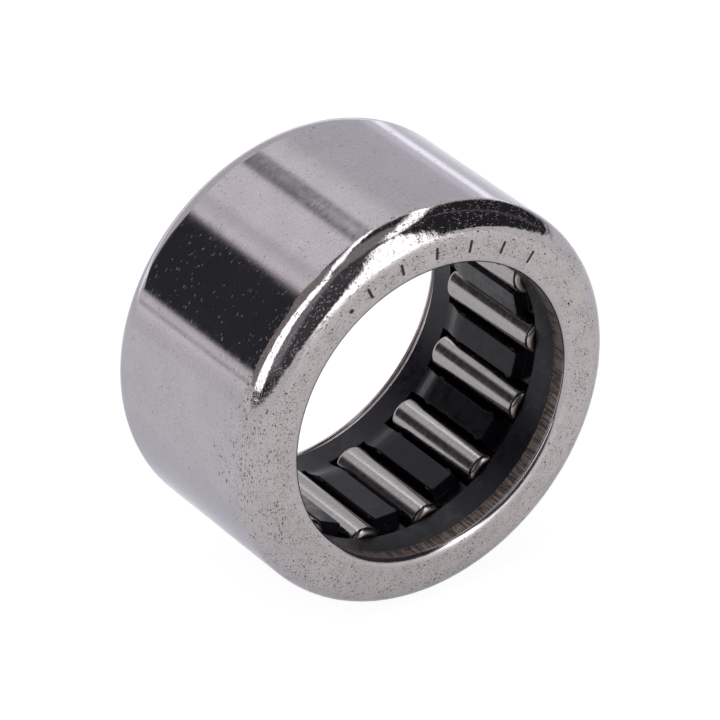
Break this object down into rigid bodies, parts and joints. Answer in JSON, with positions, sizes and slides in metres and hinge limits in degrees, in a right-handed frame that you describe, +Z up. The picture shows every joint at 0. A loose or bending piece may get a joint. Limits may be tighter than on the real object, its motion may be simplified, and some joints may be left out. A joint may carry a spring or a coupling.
{
  "type": "needle roller bearing",
  "caption": "Drawn-cup needle roller bearing open at both ends: thin steel cup with turned-in lips, black plastic cage and straight steel needles that roll on a shaft.",
  "frame": {"origin": "middle of the bearing: on its axis, halfway between its two faces", "axes": "+Y along the bearing's axis, away from the marked front face; +Z up; the front face looks towards -Y"},
  "size_m": [0.021, 0.012, 0.021],
  "materials": {
    "cup_steel": "satin ground hardened steel, polished at the rounded corners",
    "needle_steel": "fine-ground bright bearing steel",
    "cage_plastic": "satin black moulded plastic"
  },
  "bodies": {
    "cup": {"drawn_cup": "cup_steel"},
    "cage": {"needle_cage": "cage_plastic"},
    "needle_01": {"needle_01": "needle_steel"},
    "needle_02": {"needle_02": "needle_steel"},
    "needle_03": {"needle_03": "needle_steel"},
    "needle_04": {"needle_04": "needle_steel"},
    "needle_05": {"needle_05": "needle_steel"},
    "needle_06": {"needle_06": "needle_steel"},
    "needle_07": {"needle_07": "needle_steel"},
    "needle_08": {"needle_08": "needle_steel"},
    "needle_09": {"needle_09": "needle_steel"},
    "needle_10": {"needle_10": "needle_steel"},
    "needle_11": {"needle_11": "needle_steel"},
    "needle_12": {"needle_12": "needle_steel"},
    "needle_13": {"needle_13": "needle_steel"},
    "needle_14": {"needle_14": "needle_steel"}
  },
  "joints": [
    {"name": "cage_spin", "type": "hinge", "parent": "cup", "child": "cage", "pos_m": [0, 0, 0], "axis": [0, 1, 0], "continuous": true},
    {"name": "needle_01_spin", "type": "hinge", "parent": "cage", "child": "needle_01", "pos_m": [0.0085, 0, -0.00015], "axis": [0, 1, 0], "continuous": true},
    {"name": "needle_02_spin", "type": "hinge", "parent": "cage", "child": "needle_02", "pos_m": [0.00772, 0, 0.00355], "axis": [0, 1, 0], "continuous": true},
    {"name": "needle_03_spin", "type": "hinge", "parent": "cage", "child": "needle_03", "pos_m": [0.00541, 0, 0.00655], "axis": [0, 1, 0], "continuous": true},
    {"name": "needle_04_spin", "type": "hinge", "parent": "cage", "child": "needle_04", "pos_m": [0.00204, 0, 0.00825], "axis": [0, 1, 0], "continuous": true},
    {"name": "needle_05_spin", "type": "hinge", "parent": "cage", "child": "needle_05", "pos_m": [-0.00175, 0, 0.00832], "axis": [0, 1, 0], "continuous": true},
    {"name": "needle_06_spin", "type": "hinge", "parent": "cage", "child": "needle_06", "pos_m": [-0.00518, 0, 0.00674], "axis": [0, 1, 0], "continuous": true},
    {"name": "needle_07_spin", "type": "hinge", "parent": "cage", "child": "needle_07", "pos_m": [-0.00759, 0, 0.00382], "axis": [0, 1, 0], "continuous": true},
    {"name": "needle_08_spin", "type": "hinge", "parent": "cage", "child": "needle_08", "pos_m": [-0.0085, 0, 0.00015], "axis": [0, 1, 0], "continuous": true},
    {"name": "needle_09_spin", "type": "hinge", "parent": "cage", "child": "needle_09", "pos_m": [-0.00772, 0, -0.00355], "axis": [0, 1, 0], "continuous": true},
    {"name": "needle_10_spin", "type": "hinge", "parent": "cage", "child": "needle_10", "pos_m": [-0.00541, 0, -0.00655], "axis": [0, 1, 0], "continuous": true},
    {"name": "needle_11_spin", "type": "hinge", "parent": "cage", "child": "needle_11", "pos_m": [-0.00204, 0, -0.00825], "axis": [0, 1, 0], "continuous": true},
    {"name": "needle_12_spin", "type": "hinge", "parent": "cage", "child": "needle_12", "pos_m": [0.00175, 0, -0.00832], "axis": [0, 1, 0], "continuous": true},
    {"name": "needle_13_spin", "type": "hinge", "parent": "cage", "child": "needle_13", "pos_m": [0.00518, 0, -0.00674], "axis": [0, 1, 0], "continuous": true},
    {"name": "needle_14_spin", "type": "hinge", "parent": "cage", "child": "needle_14", "pos_m": [0.00759, 0, -0.00382], "axis": [0, 1, 0], "continuous": true}
  ],
  "couplings": [
    {"joint": "needle_01_spin", "follows": "cage_spin", "ratio": -9.53},
    {"joint": "needle_02_spin", "follows": "cage_spin", "ratio": -9.53},
    {"joint": "needle_03_spin", "follows": "cage_spin", "ratio": -9.53},
    {"joint": "needle_04_spin", "follows": "cage_spin", "ratio": -9.53},
    {"joint": "needle_05_spin", "follows": "cage_spin", "ratio": -9.53},
    {"joint": "needle_06_spin", "follows": "cage_spin", "ratio": -9.53},
    {"joint": "needle_07_spin", "follows": "cage_spin", "ratio": -9.53},
    {"joint": "needle_08_spin", "follows": "cage_spin", "ratio": -9.53},
    {"joint": "needle_09_spin", "follows": "cage_spin", "ratio": -9.53},
    {"joint": "needle_10_spin", "follows": "cage_spin", "ratio": -9.53},
    {"joint": "needle_11_spin", "follows": "cage_spin", "ratio": -9.53},
    {"joint": "needle_12_spin", "follows": "cage_spin", "ratio": -9.53},
    {"joint": "needle_13_spin", "follows": "cage_spin", "ratio": -9.53},
    {"joint": "needle_14_spin", "follows": "cage_spin", "ratio": -9.53}
  ]
}
